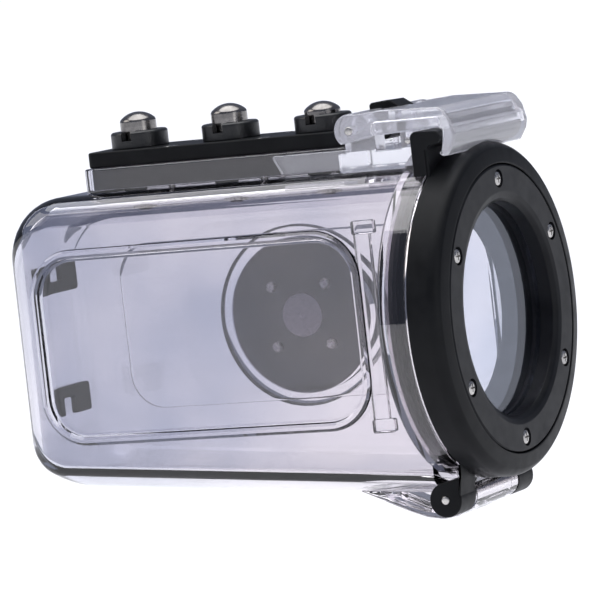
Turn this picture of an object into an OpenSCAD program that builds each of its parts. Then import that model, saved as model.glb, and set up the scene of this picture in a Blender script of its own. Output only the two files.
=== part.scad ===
// Waterproof dive housing for a long action camera: a clear body with a round
// window door at its front, a swing latch above the door and three push buttons.
//
// Every sub-part is drawn from the centre of the door's front face, with +X out
// through the window, +Z up and the latch's pin end towards -Y. place() then puts
// it in the part's frame: Z = 0 at the lowest point, X and Y centred.

/* [Overall] */
// Length of the clear body, from the door's front face to its back
body_back = 123.6; // [104:0.2:148]
// Radius of the door and of the body's front flange
door_r = 38.7; // [32:0.1:47]
// Width of the clear body across its two flat sides
body_w = 40; // [36:0.5:48]
// Wall of the clear body
wall = 2.6; // [2:0.1:3.4]

/* [Body] */
// How far the body's flat top lies inside the door's radius
body_inset = 3.7; // [3:0.1:5]
// How far the middle of the body's round bottom hangs below the flange
keel_drop = 3.6; // [2.5:0.1:4.5]
// Slope of the bottom, which rises from the flange to the back
keel_tilt = 4; // [0:0.25:5]
// Radius of the upper back corner in side view
back_corner_r = 16; // [10:0.5:20]
// Radius at which the round bottom turns up into the back
back_low_r = 14; // [8:0.5:16]
// Radius of the two back corners in top view
back_side_r = 8; // [5:0.5:10]
// Radius of the two long top edges
long_edge_r = 7; // [5:0.5:9]
// Thickness of the front flange
flange_t = 7.2; // [6.4:0.1:9]
// Wall of the flange round the door's spigot
flange_wall = 2.7; // [2.2:0.1:3.4]
// Distance from the body's back to the end of the side window
side_win_back = 10; // [8:0.5:14]
// Distance from the body's top down to the side window
side_win_margin = 14.7; // [12:0.1:17]
// Depth of the side window
side_win_depth = 0.9; // [0.5:0.1:1.2]

/* [Door] */
// Thickness of the door ring ahead of the flange
door_t = 10.9; // [10:0.1:13]
// Width of the sloping shoulder between the ring's rim and its front bezel
shoulder = 5.2; // [4.5:0.1:7]
// Distance from the bezel's rim in to the screw circle
screw_inset = 3.5; // [3:0.1:4.5]
// Distance from the screw circle in to the window opening
screw_to_window = 5.3; // [4.8:0.1:7]
// Thickness of the bezel that clamps the glass
bezel_t = 4.5; // [4:0.1:6]
// Thickness of the window glass
glass_t = 3; // [2:0.1:3.6]
// Reach of the door's spigot into the flange
spigot_t = 4.8; // [4:0.1:5.6]
// Number of bezel screws
screw_count = 6; // [4:1:10]
// Head radius of the bezel screws
screw_head_r = 1.8; // [1.5:0.1:2.2]

/* [Hinge] */
// Distance from the door's front face back to the hinge axis
hinge_back = 12.8; // [12:0.1:14]
// Radius of the two hinge ears and of the body's barrel
ear_r = 4; // [3.4:0.1:4.8]
// Outer width across the two hinge ears
ears_w = 40.6; // [36:0.2:48]
// Thickness of each hinge ear
ear_t = 8.4; // [6:0.2:10]
// Radius of the hinge pin
hinge_pin_r = 1; // [0.8:0.05:1.4]

/* [Latch] */
// Distance from the door's front face back to the lever's pin
pivot_back = 26.8; // [25.5:0.1:29]
// Height of the lever's pin above the body's top
pivot_up = 9.9; // [9.4:0.1:12]
// Radius of the latch knuckles
knuckle_r = 3.9; // [3.2:0.1:4.4]
// Radius of the lever's pin
lever_pin_r = 1; // [0.8:0.05:1.3]
// Width of the lever and of the catch on the door
lever_w = 40.8; // [38:0.2:49]
// Height of the lever's front face
lever_front_h = 10.4; // [9:0.1:12]
// Thickness of the lever's plate and cheeks
lever_t = 2.2; // [1.8:0.1:2.6]

/* [Buttons] */
// Radius of the push caps
cap_r = 4.3; // [3.6:0.05:5.2]
// Height of the two back caps above the button plate
cap_up = 8.4; // [7.5:0.1:10]
// How much lower the front cap stands
cap_short = 1.5; // [0:0.1:1.7]
// Radius of the collars round the caps
collar_r = 6.8; // [6.2:0.1:7.4]
// Height of the collars
collar_h = 3.9; // [3:0.1:4.5]
// Radius of the stems
stem_r = 1.5; // [1.2:0.05:1.8]
// Push travel
button_travel = 1.6; // [1:0.1:1.8]
// Height of the clear riser under the button plate
riser_h = 5.8; // [5:0.1:7.5]
// Thickness of the button plate
plate_t = 3.8; // [3:0.1:5]
// Width of the button plate
plate_w = 20; // [17:0.5:24]

/* [Mount plate] */
// Radius of the round mounting plate
mount_r = 18.8; // [16:0.1:20]
// Thickness of the mounting plate
mount_t = 6.4; // [5.5:0.1:8]
// Radius of the threaded insert
insert_r = 5.2; // [4.4:0.1:6]
// Wall radius of the insert's tapped hole
tapped_r = 2.6; // [2.4:0.05:3]
// Side of the square on which the four plate screws stand
mount_screw_square = 14.5; // [14:0.5:18]

/* [Hidden] */

$fn = 96;
gap = 0.3;          // clearance between bodies that move past each other
fit = 0.05;         // clearance of a running fit, and of a seated piece
over = 1;           // how far a cut runs past the face that it opens

// Levels and edges, from the door's front face on the lens axis
body_top = door_r - body_inset;
body_side = body_w / 2;
keel_z = -(door_r + keel_drop);
flange_front = -(door_t + gap);
flange_back = flange_front - flange_t;
flange_bore_r = door_r - flange_wall;
spigot_r = flange_bore_r - 1.5 * gap;
bezel_r = door_r - shoulder;
screw_circle_r = bezel_r - screw_inset;
window_r = screw_circle_r - screw_to_window;
glass_r = window_r + 2.3;
seal_t = 0.8;
glass_front = -bezel_t;
glass_back = glass_front - glass_t;
seat = glass_back - seal_t;

// The hinge axis lies just under the flange, so that the ears turn clear of it
ear_out = ears_w / 2;
ear_in = ear_out - ear_t;
hinge_x = -hinge_back;
hinge_z = -(sqrt(door_r * door_r - ear_in * ear_in) + ear_r + gap);
belly_z = hinge_z - ear_r - 1.9;
belly_half = ear_in - gap;

// The catch's lip, and the hook radius that swings clear of it
pivot_x = -pivot_back;
pivot_z = body_top + pivot_up;
lip_front = -4.1;
lip_top = pivot_z - 1.4;
lip_low = lip_top - 3.4;
rib_front = -7.6;
rib_back = -(door_t + 0.8);
hook_r = norm([lip_front - pivot_x, lip_low - pivot_z]) + gap;
lever_r = hook_r + 3;
lever_top = pivot_z + 2.8;
lever_low = lever_top - lever_front_h;

// Knuckles along the lever's pin, from the middle out
tab_half = 3.9;
inner_knuckle = [tab_half + gap, 9.6];
bracket_ear = [9.9, 15.3];
outer_knuckle = [15.6, lever_w / 2];

// The row of buttons
riser_top = body_top + riser_h;
plate_top = riser_top + plate_t;
plate_back = -body_back + 21.8;
plate_front = pivot_x - 6.9;
button_end = 9.5;
button_pitch = (plate_front - plate_back) / 2 - button_end;
button_x = [for (i = [0:2]) plate_back + button_end + i * button_pitch];
tongue_h = riser_h - 0.6;
tongue_w = plate_w - 0.8;
pocket_z = riser_top - tongue_h;
ceiling_z = body_top - wall;
cap_low = plate_top + button_travel + 0.3;
cap_tops = [for (drop = [0, 0, cap_short]) plate_top + cap_up - drop];
cap_dome = 1.9;
cap_dome_r = (cap_r * cap_r + cap_dome * cap_dome) / (2 * cap_dome);
cap_roof = plate_top + cap_up - cap_short - cap_dome - 1;
spring_seat = plate_top - 2;
spring_wire_r = 0.3;
spring_r = stem_r + 0.95;
spring_turns = 5;
clip_t = 0.6;
clip_r = stem_r + 1.4;
clip_z = ceiling_z - 0.1 - clip_t;

// The mounting plate on the far side
mount_x = -(body_back + 4.6) / 2;
mount_face = body_side + fit;
mount_ring_wall = 3.1;

// Highest and lowest points give the part's frame
front_x = body_back / 2;
axis_z = -belly_z;

module place() translate([front_x, 0, axis_z]) children();

// A cylinder along X from x0 to x1
module rod_x(x0, x1, r) translate([x0, 0, 0]) rotate([0, 90, 0]) cylinder(h = x1 - x0, r = r);

// A cylinder along Y through [x, z] from y0 to y1
module rod_y(x, z, y0, y1, r) translate([x, y0, z]) rotate([-90, 0, 0]) cylinder(h = y1 - y0, r = r);

// A box from one corner to the other
module box(low, high) translate(low) cube(high - low);

// A solid of revolution about the lens axis; the points are [radius, x]
module turned(points) rotate([0, 90, 0]) rotate_extrude() polygon(points);

// An outline in the XZ plane, given thickness along Y
module side_plate(points, y0, y1)
    translate([0, y1, 0]) rotate([90, 0, 0]) linear_extrude(y1 - y0) polygon(points);

function arc(centre, r, from, to, steps = 8) =
    [for (i = [0:steps]) let (a = from + (to - from) * i / steps) centre + r * [cos(a), sin(a)]];

// Height of the middle of the bottom at x
function keel_at(x) = keel_z + (flange_back - x) * tan(keel_tilt);

// Side view of the body, whose round bottom is cut by body_section
function side_outline(inset, front) = let (back = -body_back + inset, r = max(back_corner_r - inset, 2))
    concat([[front, 2 * keel_z], [front, body_top - inset]],
           arc([back + r, body_top - inset - r], r, 90, 180), [[back, 2 * keel_z]]);

// A rectangle of half sizes a and b with round corners, centred on the origin
function round_rect(a, b, r, steps = 8) = concat(
    arc([a - r, b - r], r, 0, 90, steps), arc([-a + r, b - r], r, 90, 180, steps),
    arc([-a + r, -b + r], r, 180, 270, steps), arc([a - r, -b + r], r, 270, 360, steps));

// The body's block, or with an inset the camera's space inside it
module body_block(inset, front) intersection() {
    back = -body_back + back_side_r;
    r = back_side_r - inset;
    side_plate(side_outline(inset, front), -body_side + inset, body_side - inset);
    body_section(inset, front);
    translate([0, 0, 2 * keel_z]) linear_extrude(-4 * keel_z)
        polygon(concat([[front, inset - body_side], [front, body_side - inset]],
                       arc([back, body_side - back_side_r], r, 90, 180),
                       arc([back, back_side_r - body_side], r, 180, 270)));
}

// The section along the body: a flat top with round edges, over a round bottom that slopes up
// and turns into the back
module body_section(inset, front) {
    r = long_edge_r - inset / 2;
    side = body_side - inset;
    translate([-body_back, 0, 0]) rotate([90, 0, 90]) linear_extrude(body_back + front)
        polygon(concat([[side, -over]], arc([side - r, body_top - inset - r], r, 0, 90),
                       arc([-side + r, body_top - inset - r], r, 90, 180), [[-side, -over]]));
    intersection() {
        translate([flange_back, 0, -keel_drop]) rotate([0, 270 + keel_tilt, 0]) rotate_extrude()
            polygon(concat([[0, -keel_ahead], [door_r - inset, -keel_ahead]],
                           arc([door_r - back_low_r, keel_l - back_low_r], back_low_r - inset, 0, 90),
                           [[0, keel_l - inset + (door_r - back_low_r) * tan(keel_tilt)]]));
        box([-2 * body_back, -door_r, 2 * keel_z], [front, door_r, 0]);
    }
}
keel_ahead = 20;
keel_l = (body_back + flange_back - (door_r - back_low_r) * sin(keel_tilt)) / cos(keel_tilt);

// The shallow window in the near side, inside its raised frame
module side_window() {
    back = -body_back + side_win_back;
    front = flange_back - wall - 5;
    top = body_top - side_win_margin;
    low = keel_at(back) + 14;
    translate([(back + front) / 2, -body_side + side_win_depth, (top + low) / 2]) rotate([90, 0, 0])
        linear_extrude(side_win_depth + over) polygon(round_rect((front - back) / 2, (top - low) / 2, 9));
}

// The rounded bracket under the flange that carries the hinge barrel
belly_round = 17;
module hinge_belly() {
    back = hinge_x - 25;
    intersection() {
        side_plate([[back, keel_at(back) + 3], [flange_front, -door_r + 2], [hinge_x, hinge_z - ear_r],
                    [hinge_x - 2.5, belly_z + 0.6], [hinge_x - 6, belly_z], [hinge_x - 10, belly_z + 0.6],
                    [hinge_x - 14, belly_z + 2.1], [hinge_x - 20, belly_z + 4.7],
                    [back, keel_at(back) + 0.3]], -belly_half, belly_half);
        translate([0, 0, belly_z + belly_round]) rod_x(back - over, flange_front, belly_round);
    }
    rod_y(hinge_x, hinge_z, -belly_half, belly_half, ear_r);
}

module riser() {
    box([plate_back - 1.2, -plate_w / 2 - 1.5, body_top - 1],
        [plate_front + 0.5, plate_w / 2 + 1.5, riser_top]);
}

module housing_shell() color("lavender", 0.35) place() difference() {
    union() {
        difference() {
            body_block(0, flange_back + 1);
            side_window();
        }
        rod_x(flange_back, flange_front, door_r);
        hinge_belly();
        riser();
        rod_y(mount_x, 0, body_side - 1, body_side + mount_t / 2, mount_r + mount_ring_wall);
    }
    body_block(wall, flange_back + over + 1);
    rod_x(flange_front - spigot_t - 1, flange_front + over, flange_bore_r);
    rod_y(hinge_x, hinge_z, -ears_w, ears_w, hinge_pin_r + fit);
    rod_y(mount_x, 0, body_side, body_side + mount_t, mount_r + fit);
    mount_screw_places() cylinder(h = mount_screw_l + 0.2, r = mount_shank_r + fit);
    box([plate_back + 0.7, -tongue_w / 2 - fit, pocket_z - fit],
        [plate_front - 0.7, tongue_w / 2 + fit, riser_top + over]);
    for (x = button_x) translate([x, 0, 0]) {
        translate([0, 0, ceiling_z - over]) cylinder(h = riser_top, r = stem_r + fit);
        translate([0, 0, pocket_z - button_seal_t]) cylinder(h = tongue_h, r = button_seal_out);
    }
    plate_screw_places()
        translate([0, 0, -plate_screw_l - 0.3]) cylinder(h = plate_screw_l, r = plate_screw_r + fit);
}

// Mounting plate, its tapped insert, and the four screws that hold it from outside
mount_shank_r = 1.25;
mount_head_r = 2.2;
mount_screw_l = mount_t + wall - 0.9;
module mount_screw_places() for (sx = [-1, 1], sz = [-1, 1])
    translate([mount_x + sx * mount_screw_square / 2, mount_face + mount_t, sz * mount_screw_square / 2])
        rotate([90, 0, 0]) children();

module mount_plate() color("dimgray") place() difference() {
    rod_y(mount_x, 0, mount_face, mount_face + mount_t, mount_r);
    rod_y(mount_x, 0, mount_face - over, mount_face + mount_t + over, insert_r);
    mount_screw_places() {
        translate([0, 0, -over]) cylinder(h = mount_screw_l + over, r = mount_shank_r + fit);
        translate([0, 0, -over]) cylinder(h = 1.6 + over, r = mount_head_r + fit);
    }
}

module mount_insert() color("gray") place() difference() {
    rod_y(mount_x, 0, mount_face, mount_face + mount_t, insert_r);
    rod_y(mount_x, 0, mount_face + 0.9, mount_face + mount_t + over, tapped_r);
}

module mount_screws() color("silver") place() mount_screw_places() difference() {
    union() {
        translate([0, 0, 0.3]) cylinder(h = 1.3, r = mount_head_r);
        translate([0, 0, 1]) cylinder(h = mount_screw_l - 1, r = mount_shank_r);
    }
    translate([0, 0, -over]) cylinder(h = 1 + over, r = 1.1, $fn = 6);
}

// Two soft pads, each a channel, that steady the camera's back
pad_half = body_side - back_side_r - 1.9;
pad_slot_half = 2.7;
pad_t = 1.6;
pad_high = sqrt(pow(door_r - back_low_r, 2) - pad_half * pad_half) - keel_at(-body_back) - door_r - 0.5;
pad_low = pad_high - 7;
pad_drop = pad_low + keel_at(-body_back) + door_r;
pad_gap = (sqrt(pad_half * pad_half + pad_drop * pad_drop) - pad_drop) * tan(keel_tilt) + 0.02;
module rear_pads() color("black") place() for (s = [-1, 1])
    translate([-body_back + wall + pad_gap, 0, 0]) mirror([0, 0, s < 0 ? 1 : 0]) difference() {
        box([0, -pad_half, pad_low], [pad_t, pad_half, pad_high]);
        box([-over, -pad_slot_half, pad_low + 2.8], [pad_t + over, pad_slot_half, pad_high + over]);
    }

// Button plate, with a tongue that seats in the riser
plate_screw_r = 0.9;
plate_screw_l = plate_t + tongue_h + 1;
module plate_screw_places() for (i = [0, 1], s = [-1, 1])
    translate([(button_x[i] + button_x[i + 1]) / 2, s * (tongue_w / 2 - 2), plate_top]) children();

module button_plate() color("#222326") place() difference() {
    union() {
        box([plate_back, -plate_w / 2, riser_top + fit], [plate_front, plate_w / 2, plate_top]);
        box([plate_back + 0.7 + fit, -tongue_w / 2, pocket_z],
            [plate_front - 0.7 - fit, tongue_w / 2, plate_top - 1]);
    }
    for (x = button_x) translate([x, 0, 0]) {
        translate([0, 0, pocket_z - over]) cylinder(h = plate_top, r = stem_r + fit);
        translate([0, 0, spring_seat]) cylinder(h = plate_t, r = spring_r + spring_wire_r + 0.4);
    }
    plate_screw_places() {
        translate([0, 0, -plate_screw_l - over]) cylinder(h = 2 * plate_screw_l, r = plate_screw_r + fit);
        translate([0, 0, -1.2]) cylinder(h = 1.2 + over, r1 = plate_screw_r + fit, r2 = 3.2);
    }
}

module plate_screws() color("silver") place() plate_screw_places() difference() {
    union() {
        translate([0, 0, -plate_screw_l]) cylinder(h = plate_screw_l, r = plate_screw_r);
        translate([0, 0, -1.15]) cylinder(h = 1.1, r1 = plate_screw_r, r2 = 1.95);
    }
    translate([0, 0, -0.7]) cylinder(h = over, r = 0.8, $fn = 6);
}

module button_collars() color("#1b1c1e") place() for (x = button_x)
    translate([x, 0, plate_top + fit]) difference() {
        cylinder(h = collar_h, r = collar_r);
        translate([0, 0, -over]) cylinder(h = collar_h + 2 * over, r = cap_r + gap);
        translate([-1.3, -collar_r - 1, collar_h - 2.1]) cube([2.6, 2 * collar_r + 2, 3]);
    }

// Seals round the stems, clamped under the plate's tongue
button_seal_t = 1.5;
button_seal_out = stem_r + fit + button_seal_t;
module button_seals() color("black") place() for (x = button_x)
    translate([x, 0, pocket_z - button_seal_t / 2]) rotate_extrude()
        translate([stem_r + fit + button_seal_t / 2 - 0.02, 0])
            circle(r = button_seal_t / 2 - 0.03, $fn = 32);

// A polished cap with its stem, hollow underneath for the spring
module button_cap(i) color("silver") place() translate([button_x[i], 0, 0]) difference() {
    union() {
        intersection() {
            translate([0, 0, cap_low]) cylinder(h = cap_tops[i] - cap_low, r = cap_r);
            translate([0, 0, cap_tops[i] - cap_dome_r]) sphere(r = cap_dome_r);
        }
        translate([0, 0, clip_z - 0.8]) cylinder(h = cap_low - clip_z + 1, r = stem_r);
    }
    translate([0, 0, cap_low - over]) difference() {
        cylinder(h = cap_roof - cap_low + over, r = spring_r + spring_wire_r + 0.3);
        cylinder(h = 20, r = stem_r);
    }
    translate([0, 0, clip_z - fit]) difference() {
        cylinder(h = clip_t + 2 * fit, r = clip_r);
        translate([0, 0, -over]) cylinder(h = clip_t + 3, r = stem_r - 0.4);
    }
}
module button_cap_1() button_cap(0);
module button_cap_2() button_cap(1);
module button_cap_3() button_cap(2);

// A coil of round wire about Z: rings of points along a helix, joined as one skin
module coil(r, wire_r, z0, z1, turns, rings = 14, sides = 6) {
    count = turns * rings;
    points = [for (i = [0:count], j = [0:sides - 1]) let (
        a = 360 * i / rings, b = 360 * j / sides, rho = r + wire_r * cos(b))
        [rho * cos(a), rho * sin(a), z0 + (z1 - z0) * i / count + wire_r * sin(b)]];
    skin = [for (i = [0:count - 1], j = [0:sides - 1]) let (k = (j + 1) % sides)
        [i * sides + j, i * sides + k, (i + 1) * sides + k, (i + 1) * sides + j]];
    polyhedron(points, concat(skin, [[for (j = [0:sides - 1]) sides - 1 - j]],
                              [[for (j = [0:sides - 1]) count * sides + j]]));
}

module button_spring(i) color("silver") place() translate([button_x[i], 0, 0])
    coil(spring_r, spring_wire_r, spring_seat + spring_wire_r + fit,
         cap_roof - spring_wire_r - fit, spring_turns);
module button_spring_1() button_spring(0);
module button_spring_2() button_spring(1);
module button_spring_3() button_spring(2);

// A retaining clip snapped into the stem's groove inside the housing
module button_clip(i) color("silver") place() translate([button_x[i], 0, clip_z]) difference() {
    cylinder(h = clip_t, r = clip_r);
    translate([0, 0, -over]) cylinder(h = clip_t + 2 * over, r = stem_r - 0.35);
    translate([0, -0.8, -over]) cube([clip_r + 1, 1.6, clip_t + 2 * over]);
}
module button_clip_1() button_clip(0);
module button_clip_2() button_clip(1);
module button_clip_3() button_clip(2);

// Clear latch bracket: rails along the riser, ears for the lever's pin and two front posts
rail_y = [plate_w / 2 + 1.7, plate_w / 2 + 4.2];
rail_back = pivot_x - 24;
rail_low = 0.8;
rail_high = 5.3;
bracket_front = -(door_t + 2);
post_t = 3.6;
bracket_floor = body_top + fit;
module latch_bracket() color("lavender", 0.35) place() difference() {
    union() {
        for (s = [-1, 1]) mirrored(s) {
            side_plate([[rail_back, body_top + rail_high], [rail_back + 2.4, body_top + rail_low],
                        [pivot_x, body_top + rail_low], [pivot_x, body_top + rail_high]],
                       rail_y[0], rail_y[1]);
            rod_y(pivot_x, pivot_z, bracket_ear[0], bracket_ear[1], knuckle_r);
            box([pivot_x - knuckle_r, bracket_ear[0], bracket_floor],
                [pivot_x + knuckle_r, bracket_ear[1], pivot_z]);
            box([bracket_front - post_t, bracket_ear[0], bracket_floor],
                [bracket_front, bracket_ear[1], lip_top - 1]);
        }
        box([plate_front + 0.6, -bracket_ear[1], bracket_floor],
            [bracket_front, bracket_ear[1], bracket_floor + 4.6]);
    }
    rod_x(flange_back - fit, 0, door_r + fit);
    rod_y(pivot_x, pivot_z, -lever_w, lever_w, lever_pin_r + fit);
    for (s = [-1, 1]) mirrored(s)
        rod_y(bracket_front - post_t / 2, post_pin_z,
              bracket_ear[0] - over, bracket_ear[1] + over, post_pin_r + fit);
}
module mirrored(s) mirror([0, s < 0 ? 1 : 0, 0]) children();

// Short pins in the bracket's two front posts
post_pin_r = 0.75;
post_pin_z = lip_top - 2.2;
module post_pins() color("silver") place() for (s = [-1, 1]) mirrored(s)
    rod_y(bracket_front - post_t / 2, post_pin_z, bracket_ear[0], bracket_ear[1], post_pin_r);

module lever_pin() color("silver") place()
    rod_y(pivot_x, pivot_z, -lever_w / 2 - 0.2, lever_w / 2 + 0.2, lever_pin_r);

// Clear swing lever: knuckles, a top plate, two cheeks and the hooked front
plate_start = pivot_x + knuckle_r + 5;
module latch_lever() color("lavender", 0.35) place() difference() {
    union() {
        for (s = [-1, 1]) mirrored(s) {
            for (k = [outer_knuckle, inner_knuckle]) {
                rod_y(pivot_x, pivot_z, k[0], k[1], knuckle_r);
                box([pivot_x, k[0], lever_top - lever_t], [plate_start + 1, k[1], lever_top]);
            }
            side_plate([[pivot_x, pivot_z - 2], [pivot_x + lever_r - 4, lip_top + 0.6],
                        [pivot_x + lever_r - 4, lever_top], [pivot_x, lever_top]],
                       lever_w / 2 - lever_t, lever_w / 2);
        }
        box([plate_start, -lever_w / 2, lever_top - lever_t],
            [pivot_x + lever_r - 2, lever_w / 2, lever_top]);
        intersection() {
            rod_y(pivot_x, pivot_z, -lever_w / 2, lever_w / 2, lever_r);
            box([pivot_x + lever_r - 8, -lever_w / 2, lever_low],
                [pivot_x + lever_r, lever_w / 2, lever_top]);
        }
    }
    difference() {
        rod_y(pivot_x, pivot_z, -lever_w, lever_w, hook_r);
        box([pivot_x - hook_r, -lever_w, lip_top + 0.5], [0, lever_w, lever_top + hook_r]);
        rod_y(pivot_x, pivot_z, -lever_w, lever_w, knuckle_r + fit);
    }
    box([pivot_x + knuckle_r + 1, -lever_w / 2 + lever_t, lip_top - 2],
        [lip_front + 0.8, lever_w / 2 - lever_t, lever_top - lever_t]);
    rod_y(pivot_x, pivot_z, -lever_w, lever_w, lever_pin_r + fit);
    rod_x(-door_t, over, door_r + gap);
}

// Black safety tab on the lever's pin, between the inner knuckles
tab_pocket_r = lever_pin_r + 1.3;
module lock_tab() color("#1b1c1e") place() difference() {
    union() {
        rod_y(pivot_x, pivot_z, -tab_half, tab_half, knuckle_r - 0.3);
        translate([pivot_x, 0, pivot_z])
            side_plate([[-2.4, 3.2], [-1, 2.6], [3, 1.5], [6, 3.1], [5.4, 4], [3.2, 5.5], [-1.8, 5.2],
                        [-2.4, 4.7]], -tab_half, tab_half);
    }
    rod_y(pivot_x, pivot_z, -5, 5, lever_pin_r + fit);
    rod_y(pivot_x, pivot_z, -tab_half + 1, tab_half - 1, tab_pocket_r);
}

// Return spring of the lock tab, coiled round the lever's pin inside the tab
tab_wire_r = 0.25;
module lock_spring() color("silver") place() translate([pivot_x, 0, pivot_z]) rotate([90, 0, 0])
    coil(tab_pocket_r - tab_wire_r - 0.3, tab_wire_r, -tab_half + 1.4, tab_half - 1.4, 5);

// Door ring with its catch and hinge ears
module door_ring() color("#222326") place() difference() {
    union() {
        turned(concat([[window_r, seat], [glass_r + fit, seat], [glass_r + fit, glass_front],
                       [bezel_r, glass_front], [bezel_r, 0], [bezel_r + 0.5, 0]],
                      arc([door_r - 3.4, -door_t + 5], 3.4, 62, 0, 6),
                      [[door_r, -door_t], [spigot_r, -door_t], [spigot_r, ring_seal_x + ring_seal_r + 0.1],
                       [spigot_r - 1.5, ring_seal_x + ring_seal_r + 0.1],
                       [spigot_r - 1.5, ring_seal_x - ring_seal_r - 0.1],
                       [spigot_r, ring_seal_x - ring_seal_r - 0.1], [spigot_r, -door_t - spigot_t],
                       [spigot_r - 3, -door_t - spigot_t], [spigot_r - 3, -door_t + 0.5],
                       [window_r, -door_t + 0.5]]));
        difference() {
            union() {
                catch_rib();
                for (s = [-1, 1]) mirrored(s) hinge_ear();
            }
            rod_x(rib_back - over, over, spigot_r - 3);
        }
    }
    difference() {
        rod_x(flange_back, -door_t, door_r + gap);
        rod_x(flange_back - over, over, spigot_r);
    }
    rod_y(hinge_x, hinge_z, -ear_in, ear_in, ear_r + gap);
    rod_y(hinge_x, hinge_z, -ears_w, ears_w, hinge_pin_r + fit);
    bezel_screw_places()
        translate([0, 0, -screw_l - 0.3]) cylinder(h = screw_l + 1, r = screw_shank_r + fit);
}

module catch_rib() side_plate([
    [rib_back, rib_root], [rib_front, rib_root], [rib_front, lip_low - 1], [lip_front - 0.4, lip_low],
    [lip_front, lip_low + 0.5], [lip_front, lip_top - 1], [lip_front - 1, lip_top],
    [rib_back + 0.6, lip_top], [rib_back, lip_top - 0.8]], -lever_w / 2, lever_w / 2);
rib_root = sqrt(bezel_r * bezel_r - lever_w * lever_w / 4) + 1;

module hinge_ear() {
    rod_y(hinge_x, hinge_z, ear_in, ear_out, ear_r);
    side_plate([[hinge_x - 0.8, hinge_z], [hinge_x + ear_r - 0.3, hinge_z],
                [hinge_x + ear_r + 1.5, hinge_z + 12], [-door_t, hinge_z + 12],
                [-door_t, hinge_z + ear_r + 1], [hinge_x - 0.8, hinge_z + ear_r]], ear_in, ear_out);
}

// Bezel that clamps the glass, and its screws
screw_shank_r = 0.9;
screw_l = bezel_t + 2.4;
screw_sink = 1.1;
module bezel_screw_places() for (i = [0:screw_count - 1])
    rotate([360 * i / screw_count, 0, 0]) translate([0, 0, screw_circle_r]) rotate([0, 90, 0]) children();

module front_bezel() color("#26272a") place() difference() {
    turned([[window_r, glass_front + fit], [bezel_r - 0.25, glass_front + fit], [bezel_r - 0.25, -0.4],
            [bezel_r - 0.65, 0], [window_r + 2.1, 0], [window_r, -1.3]]);
    bezel_screw_places() {
        translate([0, 0, -screw_l]) cylinder(h = screw_l + over, r = screw_shank_r + fit);
        translate([0, 0, -screw_sink]) cylinder(h = screw_sink + over, r = screw_head_r + 0.35);
    }
}

module bezel_screws() color("silver") place() bezel_screw_places() difference() {
    union() {
        translate([0, 0, -screw_l]) cylinder(h = screw_l, r = screw_shank_r);
        translate([0, 0, -screw_sink + 0.02]) rotate_extrude() polygon(concat([[0, 0], [screw_head_r, 0]],
            arc([screw_head_r - 0.6, 0.35], 0.6, 0, 80, 5), [[0, 1.05]]));
    }
    translate([0, 0, -screw_sink + 0.5]) for (a = [0, 90]) rotate([0, 0, a])
        translate([-1, -0.22, 0]) cube([2, 0.44, over]);
}

module window_glass() color("lightsteelblue", 0.3) place()
    turned([[0, glass_front - fit], [glass_r - 0.4, glass_front - fit], [glass_r, glass_front - 0.4 - fit],
            [glass_r, glass_back + fit], [0, glass_back + fit]]);

module window_seal() color("black") place() difference() {
    rod_x(seat + 0.02, glass_back, glass_r);
    rod_x(seat - over, glass_back + over, window_r + 0.1);
}

// O-ring in the spigot's groove
ring_seal_r = 0.8;
ring_seal_x = -door_t - spigot_t / 2;
module door_seal() color("black") place() translate([ring_seal_x, 0, 0]) rotate([0, 90, 0]) rotate_extrude()
    translate([flange_bore_r - 0.25 - ring_seal_r, 0]) circle(r = ring_seal_r, $fn = 32);

module hinge_pin() color("silver") place()
    rod_y(hinge_x, hinge_z, -ear_out - 0.15, ear_out + 0.15, hinge_pin_r);

housing_shell();
mount_plate();
mount_insert();
mount_screws();
rear_pads();
button_plate();
plate_screws();
button_collars();
button_seals();
button_cap_1();
button_cap_2();
button_cap_3();
button_spring_1();
button_spring_2();
button_spring_3();
button_clip_1();
button_clip_2();
button_clip_3();
latch_bracket();
post_pins();
lever_pin();
latch_lever();
lock_tab();
lock_spring();
door_ring();
front_bezel();
bezel_screws();
window_glass();
window_seal();
door_seal();
hinge_pin();
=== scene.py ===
"""A clear waterproof housing for a long action camera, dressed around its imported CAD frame.

Every piece is drawn in millimetres from the middle of the window door's front face, with +X out
through the window and +Z up, and is settled into the frame, in metres, when it is finished.
"""
import math

import bmesh
import bpy
from mathutils import Matrix, Vector


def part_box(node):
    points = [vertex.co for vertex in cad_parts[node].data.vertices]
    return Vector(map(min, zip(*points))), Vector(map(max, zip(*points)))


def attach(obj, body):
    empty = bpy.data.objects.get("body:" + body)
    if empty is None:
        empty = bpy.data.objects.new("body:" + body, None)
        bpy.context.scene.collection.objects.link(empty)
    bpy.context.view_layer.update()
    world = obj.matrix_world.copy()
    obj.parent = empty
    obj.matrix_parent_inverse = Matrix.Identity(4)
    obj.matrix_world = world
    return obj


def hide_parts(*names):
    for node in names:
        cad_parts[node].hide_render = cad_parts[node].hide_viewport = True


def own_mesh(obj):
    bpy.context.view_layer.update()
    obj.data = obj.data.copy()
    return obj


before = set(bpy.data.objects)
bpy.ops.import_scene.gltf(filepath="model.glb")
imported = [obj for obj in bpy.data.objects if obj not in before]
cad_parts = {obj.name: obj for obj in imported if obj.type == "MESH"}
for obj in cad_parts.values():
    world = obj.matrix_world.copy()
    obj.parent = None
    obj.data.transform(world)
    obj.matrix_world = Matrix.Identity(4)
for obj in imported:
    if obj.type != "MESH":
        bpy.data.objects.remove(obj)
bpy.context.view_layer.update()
MM = 0.001


def near(node):
    """The box of a CAD node in millimetres from the middle of the door's front face."""
    low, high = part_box(node)
    return (low - ORIGIN) / MM, (high - ORIGIN) / MM


bezel_low, bezel_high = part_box("front_bezel")
ORIGIN = Vector((bezel_high.x, 0, (bezel_low.z + bezel_high.z) / 2))

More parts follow.
